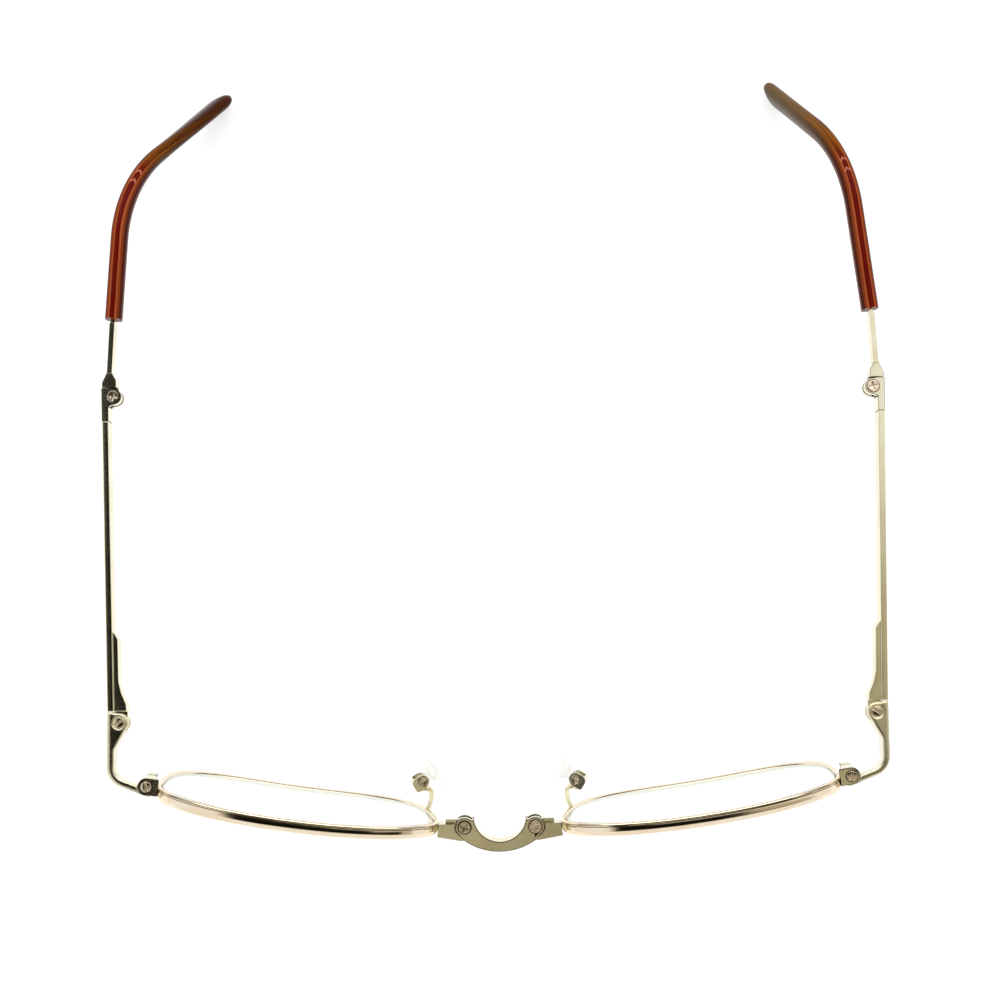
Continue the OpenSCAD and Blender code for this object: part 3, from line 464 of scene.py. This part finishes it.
# Temples. Flat nickel silver wire, with a leaf soldered inside its front end that carries the
# tongue of the hinge, and at its rear the fork of the fold hinge with its cross-head screw.
for side in ("left", "right"):
    finish_node("temple_" + side, 0.16, nickel_silver)
    finish_node("temple_hinge_leaf_" + side, 0.2, nickel_silver)
    finish_node("fold_fork_" + side, 0.08, nickel_silver, tarnish_and_painted_shade)
    finish_node("fold_screw_" + side, 0.1, screw_steel, tarnish_and_painted_shade)

# Rear wires. The tongue and block of the fold hinge are soldered to a flat nickel silver wire
# that runs back to the tip and on inside it as a core.
for side in ("left", "right"):
    finish_node("fold_tongue_" + side, 0.08, nickel_silver, tarnish_and_painted_shade)
    finish_node("rear_wire_" + side, 0.1, nickel_silver)

# Temple tips. Cellulose acetate with brown and orange streaks, drilled for the core wire, bent
# down over the ear and turned in, with a flat polished paddle at the end.
tip_bend, tip_round, tip_square = 19.0, 3.4, 2.4
tip_t, tip_h, paddle_t, paddle_h = 2.9, 4.0, 2.6, 5.8
tip_front, core_l, smoke_from, grain_apart = 13.0, 25.0, 0.3, 7
splay = radians(1.3)
# Each tip is bent by hand at fitting: its straight run, its drop, yaw and turn, and its roll
bent = {"left": (15.0, radians(40), radians(5), radians(35), radians(34)),
        "right": (19.0, radians(47), radians(8), radians(29), radians(10))}
fold_pin, hinge_pin = pins["rear_fold_right"], pins["temple_fold_right"]
tip_start = fold_pin + tip_front * Vector((sin(splay), cos(splay), 0))


def tip_frame(s, bend):
    """Direction, upward axis and sideways axis of a tip at s along its middle line."""
    share = min(1, max(0, (s - bend[0]) / tip_bend))
    p, q = bend[1] * share, bend[2] + (bend[3] - bend[2]) * share - splay
    return Vector((-sin(q) * cos(p), cos(q) * cos(p), -sin(p))), \
        Vector((-sin(q) * sin(p), cos(q) * sin(p), cos(p))), Vector((cos(q), sin(q), 0))


acetate = bpy.data.materials.new("acetate_brown_polished")
acetate.use_nodes = True
tree = acetate.node_tree
shader = tree.nodes["Principled BSDF"]
shader.inputs["IOR"].default_value = 1.48
shader.inputs["Roughness"].default_value = 0.2
shader.inputs["Specular IOR Level"].default_value = 0.03
# The attribute core holds how far out from the core a point is, its distance along the tip and
# how smoky it is, and grain holds the distance along, across and up, apart for the two tips
grain = add_node(tree, "ShaderNodeAttribute", attribute_name="grain", attribute_type="GEOMETRY")
core = add_node(tree, "ShaderNodeAttribute", attribute_name="core", attribute_type="GEOMETRY")
core = add_node(tree, "ShaderNodeSeparateXYZ", {"Vector": core.outputs["Vector"]})
# Streaks 0.3 mm wide and some 8 mm long, as in sheet that was cut along its grain
run = add_node(tree, "ShaderNodeMapping", {
    "Vector": grain.outputs["Vector"], "Scale": (0.06, 1.6, 1.6)})
streaks = add_node(tree, "ShaderNodeTexNoise", {
    "Vector": run.outputs[0], "Scale": 1.6, "Detail": 3.0, "Roughness": 0.55})
shift = add_node(tree, "ShaderNodeMapRange", {
    "Value": streaks.outputs[0], "From Min": 0.3, "From Max": 0.7, "To Min": -0.07, "To Max": 0.07})
across = add_node(tree, "ShaderNodeMath", {
    0: core.outputs[0], 1: shift.outputs[0]}, operation="ADD")


def ramp(tree, factor, stops):
    node = add_node(tree, "ShaderNodeValToRGB", {"Fac": factor})
    for position, shade in stops:
        node.color_ramp.elements.new(position).color = linear(shade)
    node.color_ramp.elements.remove(node.color_ramp.elements[0])
    node.color_ramp.elements.remove(node.color_ramp.elements[-1])
    return node.outputs[0]


# The core shows through as a dark red stripe and fades past its end; the two light lines beside it are painted
# highlights, and the darker sides towards the edges are painted shade
core_stripe_and_painted_light = ramp(tree, across.outputs[0], (
    (0.0, "#6a160a"), (0.12, "#560702"), (0.22, "#5a0b03"), (0.32, "#8c3c1b"), (0.4, "#ad5a33"),
    (0.5, "#883d1e"), (0.68, "#7c3514"), (0.84, "#4a1706"), (0.95, "#3a1005")))
solid = ramp(tree, streaks.outputs[0], ((0.34, "#5c2e12"), (0.5, "#7f4714"), (0.66, "#985b16")))
# Past the core, the sides of the acetate are painted darker towards the edges as shade
edges = add_node(tree, "ShaderNodeMapRange", {
    "Value": core.outputs[0], "From Min": 0.45, "From Max": 0.95, "To Max": 0.85})
solid = add_node(tree, "ShaderNodeMix", {
    "Factor": edges.outputs[0], "A": solid, "B": linear("#2a130a")}, data_type="RGBA")
past = add_node(tree, "ShaderNodeMapRange", {
    "Value": core.outputs[1], "From Min": core_l + 2, "From Max": core_l + 6})
mixed = add_node(tree, "ShaderNodeMix", {
    "Factor": past.outputs[0], "A": core_stripe_and_painted_light, "B": solid.outputs["Result"]}, data_type="RGBA")
# Towards its end the left tip turns dark brown and the right one a smoky grey-brown
split = add_node(tree, "ShaderNodeSeparateXYZ", {"Vector": grain.outputs["Vector"]})
right = add_node(tree, "ShaderNodeMath", {0: split.outputs[1], 1: 0.0}, operation="GREATER_THAN")
smoke = add_node(tree, "ShaderNodeMix", {
    "Factor": right.outputs[0], "A": linear("#331409"), "B": linear("#6c5a40")}, data_type="RGBA")
smoky = add_node(tree, "ShaderNodeMix", {
    "Factor": core.outputs[2], "A": mixed.outputs["Result"], "B": smoke.outputs["Result"]},
    data_type="RGBA")
# Two pale barbs, 2 mm apart, point along the core at its end
barb = add_node(tree, "ShaderNodeMath", {
    0: core.outputs[0], 1: 1.6, 2: core.outputs[1]}, operation="MULTIPLY_ADD")
barb = add_node(tree, "ShaderNodeMath", {0: barb.outputs[0], 1: core_l - 0.2}, operation="SUBTRACT")
pair = add_node(tree, "ShaderNodeMath", {0: barb.outputs[0], 1: 1.0}, operation="PINGPONG")
pair = add_node(tree, "ShaderNodeMapRange", {
    "Value": pair.outputs[0], "From Min": 0.32, "From Max": 0.12})
near = add_node(tree, "ShaderNodeMath", {0: barb.outputs[0], 1: 1.0, 2: 1.5}, operation="COMPARE")
slim = add_node(tree, "ShaderNodeMath", {0: core.outputs[0], 1: 0.38}, operation="LESS_THAN")
near = add_node(tree, "ShaderNodeMath", {0: near.outputs[0], 1: slim.outputs[0]}, operation="MULTIPLY")
pair = add_node(tree, "ShaderNodeMath", {0: pair.outputs[0], 1: near.outputs[0]}, operation="MULTIPLY")
marked = add_node(tree, "ShaderNodeMix", {
    "Factor": pair.outputs[0], "A": smoky.outputs["Result"], "B": linear("#b5694f")},
    data_type="RGBA")
tree.links.new(marked.outputs["Result"], shader.inputs["Base Color"])
for side, sign in (("left", -1), ("right", 1)):
    bend = bent[side]
    drop, turn = bend[1], bend[3] - splay
    fall = tip_bend / drop * (1 - cos(drop))
    along, up, sideways = tip_frame(1000, bend)
    wide = sideways * cos(bend[4]) + up * sin(bend[4])
    high = up * cos(bend[4]) - sideways * sin(bend[4])
    reach = Vector((tip_round * along.z, paddle_t / 2 * wide.z, paddle_h / 2 * high.z)).length
    tip_l = bend[0] + tip_bend + (tip_start.z - fall - reach) / sin(drop)
    count, fine_steps = 80, 8
    middle = [tip_start.copy()]
    for i in range(count):
        for j in range(fine_steps):
            s = (i + (j + 0.5) / fine_steps) * tip_l / count
            middle.append(middle.pop() + tip_l / count / fine_steps * tip_frame(s, bend)[0])
        middle.append(middle[-1].copy())
    caps = [radians(a) for a in (8, 16, 24, 32, 40, 48, 56, 64, 72, 79, 85, 90)]
    rings = [(0, -1)] + [(i, 0) for i in range(count + 1)] + [(count, cap) for cap in caps]
    cores = {}

    def tip_point(u, v):
        i, cap = rings[round(v * (len(rings) - 1))]
        s = i * tip_l / count
        along, up, sideways = tip_frame(s, bend)
        k = min(1, max(0, (s - bend[0]) / (tip_l - bend[0] - 4)))
        k = k * k * (3 - 2 * k)
        wide, high = (tip_t + (paddle_t - tip_t) * k) / 2, (tip_h + (paddle_h - tip_h) * k) / 2
        point = middle[i]
        if cap < 0:
            wide = high = 0
        else:
            point = point + tip_round * sin(cap) * along
            wide, high = wide * cos(cap), high * cos(cap)
        c, d = cos(2 * pi * u), sin(2 * pi * u)
        a = wide * abs(c) ** (2 / tip_square) * (1 if c > 0 else -1)
        b = high * abs(d) ** (2 / tip_square) * (1 if d > 0 else -1)
        w = sideways * cos(bend[4] * k) + up * sin(bend[4] * k)
        h = up * cos(bend[4] * k) - sideways * sin(bend[4] * k)
        p = point + a * w + b * h
        point = (sign * p.x, p.y, p.z)
        beside = min(abs(a) / wide, abs(b) / high + 0.55) if wide > 0.01 else 0.8
        smoke_share = 0.85 * max(0, k - smoke_from) / (1 - smoke_from)
        cores[tuple(Vector(point) / 1000)] = (beside, s, smoke_share)
        return point, (s, a + sign * grain_apart, b)
    tip = loft("tip_acetate_" + side, 64, len(rings) - 1, tip_point)
    bpy.ops.object.shade_smooth_by_angle(angle=radians(50))
    core = tip.data.attributes.new("core", "FLOAT_VECTOR", "POINT")
    for i, vertex in enumerate(tip.data.vertices):
        core.data[i].vector = cores.get(tuple(vertex.co), (1.0, 0.0, 0.0))
    tip.data.materials.append(acetate)
    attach(tip, "rear_arm_" + side)
    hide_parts("temple_tip_" + side)
